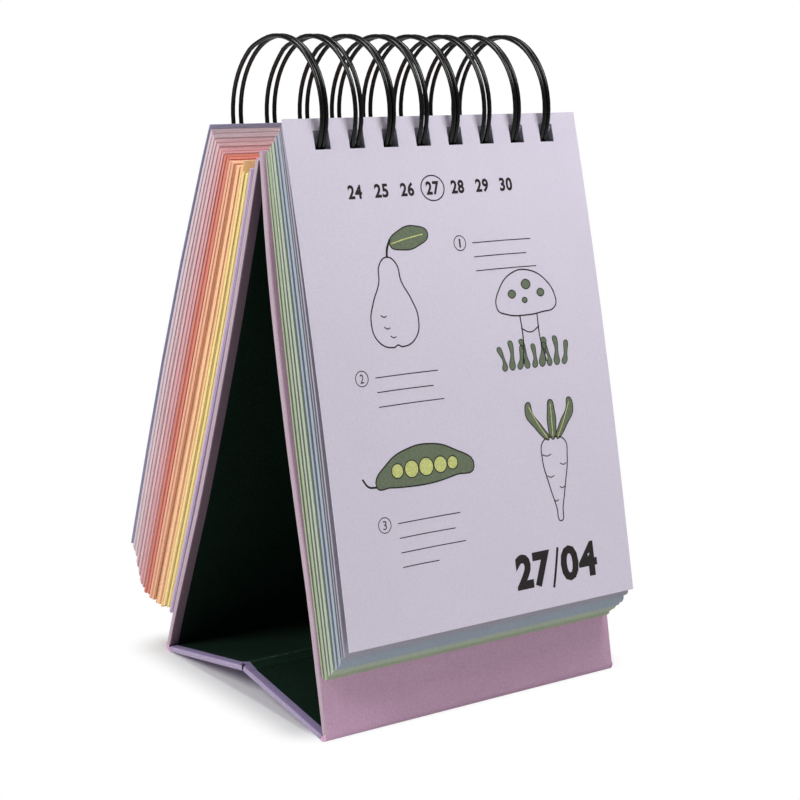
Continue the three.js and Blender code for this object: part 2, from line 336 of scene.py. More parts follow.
def put(piece, matrix):
    """Sets a piece from the bench into its place on the easel."""
    piece.matrix_world = matrix
    select_only(piece)
    bpy.ops.object.transform_apply(location=True, rotation=True, scale=True)


def hand_over(piece, body, slot, *nodes):
    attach(piece, body)
    if nodes:
        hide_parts(*nodes)


# The easel's geometry in the plane of Y and Z, in millimetres

class Side:
    """An upright board: its foot pivot, the way up along it, and the way out of it."""

    def __init__(self, sign, length, lift, hole_from_top):
        self.sign = sign
        self.length = length
        self.lift = lift
        self.pivot = Vector((sign * FOOT_SPAN, FOOT_HEIGHT))
        self.up = Vector((-sign * math.sin(BOARD_TILT), math.cos(BOARD_TILT)))
        self.out = Vector((sign * math.cos(BOARD_TILT), math.sin(BOARD_TILT)))
        self.station = length - hole_from_top

    def hole_middle(self):
        return self.pivot + self.up * self.station + self.out * (PANEL / 2)


FRONT = Side(-1, FRONT_LENGTH, 0.6, FRONT_HOLE)
REAR = Side(1, REAR_LENGTH, 1.1, REAR_HOLE)

between = REAR.hole_middle() - FRONT.hole_middle()
RING_CENTRE = (
    FRONT.hole_middle()
    + between / 2
    + Vector((-between.y, between.x)).normalized()
    * math.sqrt(RING * RING - between.length_squared / 4)
)


def ring_crossing(start, direction):
    """How far along a line from start the wire is met."""
    away = start - RING_CENTRE
    along = away.dot(direction)
    return -along + math.sqrt(along * along - away.length_squared + RING * RING)


def leaf_face(side, at_wire, at_foot):
    """Top of a leaf and the way down along it, for its distance from the board."""
    corner = side.pivot + side.up * side.length + side.out * PANEL
    high = corner + side.out * at_wire
    low = corner - side.up * LEAF_LENGTH + side.out * at_foot
    down = (low - high).normalized()
    hang = ring_crossing(high, down) - HOLE_DOWN - side.lift
    return high + down * hang, down


def month_offsets(months, pitch, start):
    """Where each month begins and ends, at the wire and at the foot."""
    spans = []
    wire, foot = start, start
    for name, leaves, slot in months:
        after_wire = wire + leaves * pitch[0]
        after_foot = foot + leaves * pitch[1]
        spans.append((name, leaves, slot, (wire + BLOCK_GAP, after_wire), (foot + BLOCK_GAP, after_foot)))
        wire, foot = after_wire, after_foot
    return spans, wire, foot


def away_from_board(side, down):
    """The direction out of a leaf, for the way down along it."""
    normal = Vector((down.y, -down.x))
    return -normal if normal.dot(side.out) < 0 else normal


rear_start = CARD_STANDOFF + CARD_THICKNESS + STANDOFF
rear_spans, rear_wire, rear_foot = month_offsets(TURNED_MONTHS, REAR_PITCH, rear_start)
front_spans, front_wire, front_foot = month_offsets(FRONT_MONTHS, FRONT_PITCH, STANDOFF)
day_top, day_down = leaf_face(
    FRONT, front_wire + DAY_GAP_WIRE + DAY_THICKNESS, front_foot + DAY_GAP_FOOT + DAY_THICKNESS)
rear_top, rear_down = leaf_face(REAR, rear_wire, rear_foot)
SHIFT = -((day_top + day_down * LEAF_LENGTH).x + (rear_top + rear_down * LEAF_LENGTH).x) / 2


def world(x, flat_point):
    """A point of the easel's section, at x across, in metres."""
    return Vector((x * MM, (flat_point.x + SHIFT) * MM, flat_point.y * MM))


# From the easel's section, in millimetres, to its place in metres
SECTION_TO_EASEL = Matrix.Translation((0, SHIFT * MM, 0)) @ Matrix.Scale(MM, 4)


def bench_to(origin, up, out):
    """Matrix from the bench (x across, y up, z out, mm) to the easel."""
    across = out.x * -up.y + out.y * up.x
    hand = 1 if across > 0 else -1
    return Matrix((
        (hand * MM, 0, 0, 0),
        (0, up.x * MM, out.x * MM, (origin.x + SHIFT) * MM),
        (0, up.y * MM, out.y * MM, origin.y * MM),
        (0, 0, 0, 1),
    ))


hole_places = [(i - (LOOPS - 1) / 2) * PITCH for i in range(LOOPS)]


# Materials

def shade(code, share):
    """The hex tint made darker (share below 1) or lighter (above 1)."""
    parts = [int(code[i:i + 2], 16) for i in (1, 3, 5)]
    return "#" + "".join(f"{min(255, max(0, round(c * share))):02X}" for c in parts)


def noise(tree, place, size, detail, roughness=0.5):
    """Noise with grains of about this size in millimetres."""
    return add_node(tree, "ShaderNodeTexNoise", {
        "Scale": 1 / (size * MM), "Detail": detail, "Roughness": roughness,
    }, {"Vector": place}).outputs["Fac"]


def spread(tree, value, low, high, start=0.0, end=1.0):
    """Maps what lies between start and end onto low to high."""
    return add_node(tree, "ShaderNodeMapRange", {
        "From Min": start, "From Max": end, "To Min": low, "To Max": high,
    }, {"Value": value}).outputs["Result"]


def ramp(tree, value, *stops):
    """A colour ramp through hex colours, each with its place."""
    made = add_node(tree, "ShaderNodeValToRGB", {}, {"Fac": value})
    elements = made.color_ramp.elements
    elements[0].position = stops[0][0]
    elements[-1].position = stops[-1][0]
    for stop in stops[1:-1]:
        elements.new(stop[0])
    for element, stop in zip(elements, stops):
        element.color = linear(stop[1])
    return made.outputs["Color"]


def mixed_in(tree, tone, code, share):
    """The tone with a share of a hex colour in it."""
    return add_node(tree, "ShaderNodeMix", {"data_type": "RGBA", 7: linear(code)}, {
        0: share, 6: tone,
    }).outputs[2]


def relief(tree, height, strength, depth=0.00005):
    return add_node(tree, "ShaderNodeBump", {
        "Strength": strength, "Distance": depth,
    }, {"Height": height}).outputs["Normal"]


def surface(tree, settings, links):
    """The material's surface, led to its output."""
    made = add_node(tree, "ShaderNodeBsdfPrincipled", settings, links)
    add_node(tree, "ShaderNodeOutputMaterial", {}, {"Surface": made.outputs["BSDF"]})


def fibre_material(name, tint, dark, light, fibre_mm, cloud_mm, roughness, bump, gloss=0.25, flecks=None):
    """Uncoated paper or covering: fine fibres, a slow cloud of tone, a dry matt surface.
    dark and light are hex colours, or shares of the tint."""
    made, tree, spots = new_material(name)
    dark, light = [tone if isinstance(tone, str) else shade(tint, tone) for tone in (dark, light)]
    fibre = noise(tree, spots["Object"], fibre_mm, 4.0, 0.65)
    cloud = noise(tree, spots["Object"], cloud_mm, 2.0)
    tone = ramp(tree, fibre, (0.3, dark), (0.5, tint), (0.7, light))
    tone = mixed_in(tree, tone, dark, spread(tree, cloud, 0.0, 0.22, 0.35, 0.65))
    if flecks:
        # Small pale fibres lie scattered in the sheet
        grains = add_node(
            tree, "ShaderNodeTexVoronoi", {"Scale": 1 / (1.1 * MM)}, {"Vector": spots["Object"]})
        near = spread(tree, grains.outputs["Distance"], 0.55, 0.0, 0.1, 0.26)
        tone = mixed_in(tree, tone, flecks, near)
    surface(tree, {"IOR": 1.45, "Specular IOR Level": gloss}, {
        "Base Color": tone,
        "Normal": relief(tree, fibre, bump),
        "Roughness": spread(tree, cloud, roughness - 0.06, roughness + 0.06),
    })
    return made


# Uncoated offset paper, dyed through: fibres of about 0.5 mm, drawn at 0.6 mm so that they show
month_papers = {
    slot: fibre_material(f"{slot}_uncoated", tint, 0.93, 1.04, 0.6, 14, 0.88, 0.25)
    for slot, tint in TINTS.items()
}
# A paler copy of February's paper for its raised leaves: painted light
february_painted_light = fibre_material("february_paper_painted_light", FEBRUARY_PAINTED_LIGHT, 0.93, 1.04, 0.6, 14, 0.88, 0.25)
day_paper = fibre_material("lilac_paper_uncoated", DAY_TINT, 0.97, 1.02, 0.6, 30, 0.85, 0.2)

# Matt covering paper over board, with a fine mottled grain of about 0.35 mm and pale fibres
covering = fibre_material(
    "wrap_paper_mottled", COVERING, 0.92, COVERING_LIGHT, 0.35, 26, 0.85, 0.35, flecks=FLECKS)
# A greyer copy of the covering for the boards' side faces: painted light
edge_painted_light = fibre_material("wrap_paper_edge_painted_light", EDGE_PAINTED_LIGHT, 0.92, 1.07, 0.35, 20, 0.85, 0.4)
covering_base = fibre_material(
    "wrap_paper_base", COVERING_BASE, 0.92, COVERING_BASE_LIGHT, 0.35, 26, 0.85, 0.35, flecks=FLECKS)

# The same paper where it is turned in on the inner faces, in a darker tone: painted shade, for the shade
# inside the easel
covering_painted_shade = fibre_material(
    "wrap_paper_turn_in_painted_shade", COVERING_PAINTED_SHADE, 0.9, 1.08, 0.35, 22, 0.88, 0.35, gloss=0.15)
base_painted_shade = fibre_material(
    "wrap_paper_base_turn_in_painted_shade", BASE_PAINTED_SHADE, 0.9, 1.1, 0.35, 22, 0.88, 0.35, gloss=0.15)

# Lilac card of the cover leaves
card_stock = fibre_material("cover_card_lilac", CARD, 0.92, 1.05, 0.5, 12, 0.85, 0.3)

# Dark lining paper, nearly black green, with a faint even tooth
lining = fibre_material("liner_paper_dark_green", LINING, 0.75, 1.35, 0.5, 18, 0.92, 0.35, gloss=0.06)

# Grey bookbinding board: coarse pressed pulp, seen only at the punched holes. Its grey is darker than plain
# grey board: painted shade in the holes
grey_board = fibre_material(
    "grey_board_raw", "#5E5A56", "#4A4642", "#75706A", 0.8, 6, 0.95, 0.8, gloss=0.1)


def coated_wire_material():
    """Steel wire in black nylon: satin gloss, faint draw marks and a few scuffs."""
    made, tree, spots = new_material("wire_black_nylon")
    grain = noise(tree, spots["Object"], 0.9, 3.0)
    scuffs = noise(tree, spots["Object"], 3.5, 5.0, 0.7)
    surface(tree, {
        "IOR": 1.5, "Specular IOR Level": 0.28, "Coat Weight": 0.06, "Coat Roughness": 0.16,
    }, {
        "Base Color": ramp(tree, scuffs, (0.45, NYLON), (0.75, NYLON_SCUFFED)),
        "Roughness": spread(tree, scuffs, 0.2, 0.32),
        "Normal": relief(tree, grain, 0.04, 0.00002),
    })
    return made


def ink_material(name, tint):
    """Printed ink on uncoated paper: flat and matt, a little uneven where the fibres took it up."""
    made, tree, spots = new_material(name)
    fibre = noise(tree, spots["Object"], 0.5, 3.0)
    surface(tree, {"Roughness": 0.8, "Specular IOR Level": 0.3}, {
        "Base Color": ramp(tree, fibre, (0.35, shade(tint, 0.94)), (0.7, shade(tint, 1.12))),
    })
    return made


def creased_lining_material():
    """The lining over the fold of the base, with two pale broken lines along the ridge."""
    made, tree, spots = new_material("liner_paper_creased")

    def reckon(operation, *values):
        """The result of a sum of sockets and numbers."""
        settings = {"operation": operation}
        links = {}
        for i, value in enumerate(values):
            target = settings if isinstance(value, float) else links
            target[i] = value
        return add_node(tree, "ShaderNodeMath", settings, links).outputs[0]

    fibre = noise(tree, spots["Object"], 0.5, 4.0)
    body = ramp(tree, fibre, (0.3, shade(LINING, 0.8)), (0.7, shade(LINING, 1.35)))
    # The UV holds the place along the fold and the distance from it, in millimetres
    sides = add_node(tree, "ShaderNodeSeparateXYZ", {}, {"Vector": spots["UV"]}).outputs
    wander = noise(tree, spots["Object"], 9, 3.0)
    off = reckon("ADD", sides["Y"], reckon("MULTIPLY_ADD", wander, 0.5, -0.25))
    # One line lies 0.3 mm to each side of the fold
    apart = reckon("SUBTRACT", reckon("ABSOLUTE", off), 0.3)
    line = spread(tree, reckon("ABSOLUTE", apart), 1.0, 0.0, 0.02, 0.1)
    breaks = noise(tree, spots["Object"], 2.4, 4.0, 0.7)
    broken = spread(tree, breaks, 0.0, 1.0, 0.42, 0.62)
    # The lines are plain at the left end and fade out along the fold
    fading = spread(tree, sides["X"], 0.8, 0.12, -50.0, 20.0)
    share = reckon("MULTIPLY", reckon("MULTIPLY", line, broken), fading)
    surface(tree, {"Roughness": 0.92, "Specular IOR Level": 0.06}, {
        "Base Color": mixed_in(tree, body, FOLD_LINE_TINT, share),
        "Normal": relief(tree, fibre, 0.4),
    })
    return made


wire_coating = coated_wire_material()
dark_ink = ink_material("ink_warm_black", INK)
green_ink = ink_material("ink_leaf_green", PRINT_GREEN)
light_ink = ink_material("ink_pale_green", PRINT_LIGHT)
creased_lining = creased_lining_material()


# Both boards have warped a little towards each other between foot and wire,
# given in millimetres by the share of the height
FRONT_WARP = [(0, 0), (0.2, 0), (0.33, 0.9), (0.47, 2.0), (0.6, 2.5), (0.76, 2.4), (0.88, 1.4), (1, 0)]
REAR_WARP = [
    (0, 0), (0.1, 0.2), (0.2, 0.9), (0.32, 1.9), (0.5, 2.2), (0.65, 2.0), (0.78, 1.4), (0.9, 0.6), (1, 0),
]


def smooth_between(table, x):
    """A smooth curve through the points of a table, level at both ends."""
    x = min(max(x, table[0][0]), table[-1][0])
    k = next(i for i in range(1, len(table)) if x <= table[i][0])
    (x0, y0), (x1, y1) = table[k - 1], table[k]

    def slope(i):
        if i <= 0 or i >= len(table) - 1:
            return 0.0
        return (table[i + 1][1] - table[i - 1][1]) / (table[i + 1][0] - table[i - 1][0])

    t = (x - x0) / (x1 - x0)
    width = x1 - x0
    return (
        (2 * t**3 - 3 * t**2 + 1) * y0 + (t**3 - 2 * t**2 + t) * width * slope(k - 1)
        + (3 * t**2 - 2 * t**3) * y1 + (t**3 - t**2) * width * slope(k)
    )


def bend(piece, length, warp):
    """Bends a flat board on the bench inwards, and lets its inner side swell a little."""
    if warp is None:
        return
    for point in piece.data.vertices:
        share = point.co.y / length
        full = smooth_share(share, 0.03, 0.14) * (1 - smooth_share(share, 0.86, 0.97))
        inner = 1 - point.co.z / PANEL
        point.co.z -= smooth_between(warp, share) + SWELL * full * inner


def rows_along(start, end):
    """Cuts the piece being edited across, so that it can bend."""
    y = start + BEND_STEP
    while y < end - 1:
        bpy.ops.mesh.select_all(action="SELECT")
        cut((0, y, 0), (0, 1, 0))
        y += BEND_STEP


def punch(piece, middle):
    """In edit mode, cuts the row of square holes out of the side that looks up."""

    def in_row(c, n):
        return n.z > 0.99 and abs(c.y - middle) < HOLE / 2

    for y in (middle - HOLE / 2, middle + HOLE / 2):
        pick(piece, "FACE", lambda c, n: n.z > 0.99)
        cut((0, y, 0), (0, 1, 0))
    for x in hole_places:
        for edge in (x - HOLE / 2, x + HOLE / 2):
            pick(piece, "FACE", in_row)
            cut((edge, 0, 0), (1, 0, 0))
    pick(piece, "FACE", lambda c, n: in_row(c, n)
         and any(abs(c.x - x) < HOLE / 2 - 0.1 for x in hole_places))
    bpy.ops.mesh.delete(type="FACE")


def board_paper(name, matrix, length, station, warp, turn_in, outside, inside):
    """Covering paper of a panel: round the edges, and turned in on the inner face. Only the
    upright boards have a station, the height of their holes, and a free top."""
    upright = station is not None
    half = PANEL_WIDTH / 2
    start = HINGE_GAP
    end = length if upright else length - HINGE_GAP
    piece = slab(name, (-half, start, 0), (half, end, PANEL))
    edit(piece)
    # Folded edges of covered board are a little round
    pick(piece, "EDGE", lambda c, d: abs(abs(c.x) - half) < 1e-3 and abs(d.y) > 0.9)
    bpy.ops.mesh.bevel(offset=EDGE_ROUND, segments=3, affect="EDGES")
    if upright:
        pick(piece, "EDGE", lambda c, d: abs(c.y - end) < 1e-3 and abs(d.x) > 0.9)
        bpy.ops.mesh.bevel(offset=EDGE_ROUND, segments=3, affect="EDGES")
    # The turn-ins leave a window on the inner face for the lining
    window_top = end - turn_in if upright else end
    for x in (-half + turn_in, half - turn_in):
        pick(piece, "FACE", lambda c, n: n.z < -0.99)
        cut((x, 0, 0), (1, 0, 0))
    if upright:
        pick(piece, "FACE", lambda c, n: n.z < -0.99)
        cut((0, window_top, 0), (0, 1, 0))
    pick(piece, "FACE", lambda c, n: n.z < -0.99 and abs(c.x) < half - turn_in and c.y < window_top)
    bpy.ops.mesh.delete(type="FACE")
    pick(piece, "FACE", lambda c, n: abs(n.y) > 0.99 and (c.y < start + 1e-3 or not upright))
    bpy.ops.mesh.delete(type="FACE")
    if upright:
        punch(piece, station)
        rows_along(start, station - HOLE / 2)
    done(piece)
    # Painted light: the long side faces of the boards get a greyer copy of the covering, matched to how they
    # look in the light
    paint(piece, outside, inside, edge_painted_light if upright else outside)
    for face in piece.data.polygons:
        face.material_index = 1 if face.normal.z < -0.5 else 2 if abs(face.normal.x) > 0.6 else 0
    finish_with(piece, "SOLIDIFY", thickness=PAPER, offset=-1, use_rim=True)
    bend(piece, length, warp)
    put(piece, matrix)
    soft_edges(piece, 40)
    return piece


def board_layer(name, matrix, length, station, warp, inset, bottom, thickness, finish):
    """A flat layer of a panel, its core or its lining, set in from the edges of the panel."""
    half = PANEL_WIDTH / 2 - inset
    end = length - (HINGE_GAP if station is None else inset)
    piece = flat_sheet(name, (-half, HINGE_GAP), (half, end))
    edit(piece)
    if station is not None:
        punch(piece, station)
        rows_along(HINGE_GAP, station - HOLE / 2)
    bpy.ops.mesh.select_all(action="SELECT")
    bpy.ops.transform.translate(value=(0, 0, bottom))
    done(piece)
    finish_with(piece, "SOLIDIFY", thickness=thickness, offset=1, use_rim=True)
    bend(piece, length, warp)
    put(piece, matrix)
    paint(piece, finish)
    return piece


BASE_FRONT_UP = Vector((math.cos(BASE_RISE), math.sin(BASE_RISE)))
BASE_FRONT_OUT = Vector((math.sin(BASE_RISE), -math.cos(BASE_RISE)))
BASE_REAR_UP = Vector((-math.cos(BASE_RISE), math.sin(BASE_RISE)))
BASE_REAR_OUT = Vector((-math.sin(BASE_RISE), -math.cos(BASE_RISE)))

panels = [
    ("front_board", FRONT.pivot, FRONT.up, FRONT.out, FRONT_LENGTH, FRONT.station, "easel_front", FRONT_WARP),
    ("rear_board", REAR.pivot, REAR.up, REAR.out, REAR_LENGTH, REAR.station, "easel_rear", REAR_WARP),
    ("base_front", FRONT.pivot, BASE_FRONT_UP, BASE_FRONT_OUT, BASE_LENGTH, None, "base_front", None),
    ("base_rear", REAR.pivot, BASE_REAR_UP, BASE_REAR_OUT, BASE_LENGTH, None, "base_rear", None),
]
for name, pivot, up, out, length, station, body, warp in panels:
    upright = station is not None
    turn_in = BOARD_TURN_IN if upright else BASE_TURN_IN
    # The turn-ins take darker copies of the covering: painted shade
    outside, inside = (covering, covering_painted_shade) if upright else (covering_base, base_painted_shade)
    panel = (bench_to(pivot, up, out), length, station, warp)
    piece = board_paper(f"{name}_covering", *panel, turn_in, outside, inside)
    hand_over(piece, body, "wrap_paper", f"{name}_wrap")
    skin = PAPER + GLUE
    core = board_layer(f"{name}_pulp_board", *panel, skin, skin, PANEL - 2 * skin, grey_board)
    hand_over(core, body, "grey_board", f"{name}_core")
    liner = board_layer(f"{name}_lining", *panel, turn_in, GLUE, PAPER - GLUE, lining)
    hand_over(liner, body, "liner_paper", f"{name}_liner")


def paper_strip(name, half, line):
    """A strip across the easel, extruded along a line of its section and left in edit mode."""
    piece = flat_sheet(name, (-half, 0), (half, 1))
    edit(piece)
    pick(piece, "VERT", lambda c, n: c.y > 0.5)
    bpy.ops.transform.translate(value=(0, line[0].x - 1, line[0].y))
    pick(piece, "VERT", lambda c, n: abs(c.y) < 1e-6 and abs(c.z) < 1e-6)
    bpy.ops.transform.translate(value=(0, line[1].x, line[1].y))
    for a, b in zip(line[1:], line[2:]):
        bpy.ops.mesh.extrude_region_move(TRANSFORM_OT_translate={"value": (0, b.x - a.x, b.y - a.y)})
    return piece


# Paper round each foot, from the board's outer face to the base. It is folded double at the ends,
# so the foot is closed there, and it stands on a narrow flat.

def foot_paper(name, side, base_out, base_up):
    sweep = math.pi / 2 - BOARD_TILT + BASE_RISE
    line = [side.pivot + side.up * HINGE_GAP + side.out * PANEL]
    for i in range(FOOT_STEPS + 1):
        turn = sweep * i / FOOT_STEPS
        puff = FOOT_ROUND + FOOT_PUFF * math.sin(math.pi * i / FOOT_STEPS)
        line.append(side.pivot + (side.out * math.cos(turn) - side.up * math.sin(turn)) * puff)
    line.append(side.pivot + base_out * PANEL + base_up * HINGE_GAP)
    piece = paper_strip(name, PANEL_WIDTH / 2, line)
    # What lies below the table is pressed flat onto it
    pick(piece, "VERT", lambda c, n: c.z < 0)
    bpy.ops.transform.resize(value=(1, 1, 0), center_override=(0, 0, 0))
    done(piece)
    mend_normals(piece)
    # The strip's outer side faces away from the pivot
    if min(piece.data.polygons, key=lambda f: f.center.z).normal.z > 0:
        change_all(piece, bpy.ops.mesh.flip_normals)
    finish_with(piece, "SOLIDIFY", thickness=FOOT_PAPER, offset=-1, use_rim=True)
    paint(piece, covering, lining)
    middle = Vector((0, side.pivot.x, side.pivot.y))
    for face in piece.data.polygons:
        inner = (face.center - middle).yz.length < 1.5 and abs(face.normal.x) < 0.5
        face.material_index = 1 if inner else 0
    put(piece, SECTION_TO_EASEL)
    soft_edges(piece, 50)
    return piece


for name, side, base_out, base_up, board_body, base_body in (
    ("front_foot", FRONT, BASE_FRONT_OUT, BASE_FRONT_UP, "easel_front", "base_front"),
    ("rear_foot", REAR, BASE_REAR_OUT, BASE_REAR_UP, "easel_rear", "base_rear"),
):
    piece = foot_paper(f"{name}_covering", side, base_out, base_up)
    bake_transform(piece)
    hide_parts(f"{name}_hinge")


# Lining paper pinched over the fold of the base, with the covering turned in at its ends.
# Its section, by the distance from the fold and the height over the paper:
CREASE_PROFILE = [
    (4, 0), (2.4, 0), (1.4, 0.02), (0.95, 0.08), (0.62, 0.2), (0.42, 0.26), (0.2, 0.2), (0, 0.14),
]
CREASE_LIFT = 0.06


def crease_spot(s, h):
    """A point of the folded paper, which thins out towards both sides."""
    reach = h + CREASE_LIFT + HINGE_PAPER * (1 - 0.9 * smooth_share(abs(s), 1.4, 3.9))
    ridge = FOOT_HEIGHT + FOOT_SPAN * math.tan(BASE_RISE)
    return Vector((
        s * math.cos(BASE_RISE) + (1 if s > 0 else -1 if s < 0 else 0) * reach * math.sin(BASE_RISE),
        ridge - abs(s) * math.sin(BASE_RISE) + reach * math.cos(BASE_RISE),
    ))


def crease_paper():
    half = PANEL_WIDTH / 2 - 0.1
    line = [crease_spot(-s, h) for s, h in CREASE_PROFILE]
    line += [crease_spot(s, h) for s, h in reversed(CREASE_PROFILE[:-1])]
    piece = paper_strip("base_crease_lining", half, line)
    for x in (-half + BASE_TURN_IN, half - BASE_TURN_IN):
        bpy.ops.mesh.select_all(action="SELECT")
        cut((x, 0, 0), (1, 0, 0))
    # A little nick is left in the turn-in on each side of the fold
    pick(piece, "VERT", lambda c, n: abs(abs(c.x) - half) < 1e-3 and abs(c.y) < 1.0)
    bpy.ops.transform.resize(value=(1 - 0.9 / half, 1, 1), center_override=(0, 0, 0))
    done(piece)
    mend_normals(piece)
    if piece.data.polygons[0].normal.z < 0:
        change_all(piece, bpy.ops.mesh.flip_normals)
    # The turn-ins at the fold's ends take the darker copy of the base's covering: painted shade
    paint(piece, creased_lining, base_painted_shade)
    for face in piece.data.polygons:
        face.material_index = 1 if abs(face.center.x) > half - BASE_TURN_IN else 0
    finish_with(piece, "SOLIDIFY", thickness=HINGE_PAPER - 0.05, offset=-1, use_rim=True)
    # The distance from the fold is kept in a UV map, so the pale lines stay on it
    layer = piece.data.uv_layers.active or piece.data.uv_layers.new(name="fold")
    for loop in piece.data.loops:
        co = piece.data.vertices[loop.vertex_index].co
        layer.data[loop.index].uv = (co.x, co.y / math.cos(BASE_RISE))
    put(piece, SECTION_TO_EASEL)
    soft_edges(piece, 40)
    return piece


crease_piece = crease_paper()
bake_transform(crease_piece)
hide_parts("base_crease_hinge")


# Leaves: one punched sheet is made, and every leaf is a copy of it set in its place

HOLES_END = 48
FIRST_ROW = 14
rows_down = [FIRST_ROW, 48, 84, 120]


def punched_sheet(name, thickness, rows=rows_down, width=LEAF_WIDTH):
    piece = flat_sheet(name, (-width / 2, -LEAF_LENGTH), (width / 2, 0))
    edit(piece)
    for y in rows:
        bpy.ops.mesh.select_all(action="SELECT")
        cut((0, -y, 0), (0, 1, 0))
    punch(piece, -HOLE_DOWN)
    done(piece)
    finish_with(piece, "SOLIDIFY", thickness=thickness, offset=1, use_rim=True)
    return piece


def stack(name, template, sheets, paper):
    """Copies of the sheet, each moved to its own place, joined as one block."""
    copies = []
    for place in sheets:
        mesh = template.data.copy()
        copy = bpy.data.objects.new(name, mesh)
        bpy.context.scene.collection.objects.link(copy)
        for point in mesh.vertices:
            point.co = place(point.co)
        copies.append(copy)
    select_only(*copies)
    if len(copies) > 1:
        bpy.ops.object.join()
    block = bpy.context.object
    block.name = name
    block.data.name = name
    paint(block, paper)
    return block


def sheet_place(side, at_wire, at_foot, slide_x, slide_s, side_trim, top_trim, foot_trim, bow):
    """Where a point of the punched sheet goes: hung on the wire, slid a little, trimmed and bowed."""
    top, down = leaf_face(side, at_wire, at_foot)
    normal = away_from_board(side, down)
    kept = (LEAF_LENGTH - foot_trim - FIRST_ROW) / (LEAF_LENGTH - FIRST_ROW)
    margin = LEAF_WIDTH / 2 - HOLES_END

    def place(co):
        s = -co.y
        if s < HOLE_DOWN - HOLE / 2 - 0.1:
            s += top_trim
        if s > FIRST_ROW:
            s = FIRST_ROW + (s - FIRST_ROW) * kept
        share = max(0.0, min(1.0, s / LEAF_LENGTH))
        x = co.x
        if abs(x) > HOLES_END:
            # The leaves spread towards the foot, where the narrower ones show less
            trim = side_trim * (1 - 0.62 * share)
            x = math.copysign(HOLES_END + (abs(x) - HOLES_END) * (1 - trim / margin), x)
        swell = bow * math.sin(math.pi * share ** 0.85)
        spot = top + down * (s + slide_s) + normal * (co.z + swell)
        return world(-side.sign * x + slide_x, spot)

    return place


def between_values(table, x):
    """Straight lines between the points of a table."""
    for (x0, y0), (x1, y1) in zip(table, table[1:]):
        if x <= x1:
            return y0 + (y1 - y0) * max(0.0, (x - x0) / (x1 - x0))
    return table[-1][1]


def bundles(rng, leaves):
    """Leaves cling together in bundles, as paper does: two to a month."""
    first = round(leaves * rng.uniform(0.4, 0.62))
    return [first, leaves - first]


# How far some leaves stand back from the edges of their neighbours: the first three leaves of
# each bundle, which read as a thin dark line, the last of March, and the first of each stack
LINE_LEAVES = 3
LINE_BACK = (0.55, 0.35)
MARCH_LEAVES = 8
MARCH_BACK = 1.3
INNER_LEAVES = {FRONT: 7, REAR: 3}
INNER_BACK = 2.4
BUNDLE_STEP = 0.4

# February's first leaves are still yellow, and the next ones stand up above the rest. These take a paler copy
# of February's orange, painted light to make up for the shade they stand in
YELLOW_LEAVES = 13
RAISED_LEAVES = 6

# How much shorter the leaves reach down, by their depth in the stack
REAR_FEET = [
    (0, 1.6), (0.15, 0.6), (0.38, -0.4), (0.6, -1.0), (0.71, 0.5), (0.81, 4.0), (0.91, 5.4), (1, 5.7),
]
FRONT_FEET = [(0, 0.0), (1, 0.0)]


def top_cut(name, leaf):
    """What is cut off a leaf at the top. January's leaves end lower than the rest."""
    if name == "january":
        return 1.2
    if name == "february":
        return 1.0 if leaf < YELLOW_LEAVES else -2.4 if leaf < YELLOW_LEAVES + RAISED_LEAVES else -0.4
    return 0.0


def month_sheets(rng, side, span, thickness, before, total, feet, bows, aside):
    """Places of one month's leaves. before: leaves between it and the board, total: leaves in the
    stack, bows: how far the innermost and the outermost leaf bow out, aside: how far the
    innermost stands to the side."""
    name, leaves = span[:2]
    (wire, wire_end), (foot, foot_end) = span[3:]
    sizes = bundles(rng, leaves)
    gap_wire = (wire_end - wire - leaves * thickness) / len(sizes)
    gap_foot = (foot_end - foot - leaves * thickness) / len(sizes)
    places = []
    month_x = rng.uniform(-0.15, 0.15)
    for number, size in enumerate(sizes):
        bundle_x = month_x + rng.uniform(-0.12, 0.12)
        bundle_s = rng.uniform(-0.22, 0.22)
        step = (number - 0.5) * BUNDLE_STEP
        # The leaves of a bundle lie close on each other, so they share one bow
        bow = bows[0] + (bows[1] - bows[0]) * (before + len(places) + size / 2) / total
        for k in range(size):
            leaf = len(places)
            depth = (before + leaf) / total
            set_back = LINE_BACK[number] if k < LINE_LEAVES else 0.0
            if name == "march" and leaf >= leaves - MARCH_LEAVES:
                set_back = MARCH_BACK
            if before + leaf < INNER_LEAVES[side]:
                set_back = INNER_BACK
            places.append(sheet_place(
                side, wire, foot,
                bundle_x + aside * (1 - depth),
                step * 0.5,
                set_back,
                bundle_s * 0.5 + set_back * 0.8 + top_cut(name, leaf),
                between_values(feet, depth) + bundle_s * 1.4 - step * 0.5 + set_back * 0.6,
                bow,
            ))
            wire += thickness
            foot += thickness
        wire += gap_wire
        foot += gap_foot
    return places


front_template = punched_sheet("front_leaf_template", FRONT_SHEET)
rear_template = punched_sheet("rear_leaf_template", REAR_SHEET)
rng = random.Random(1109)

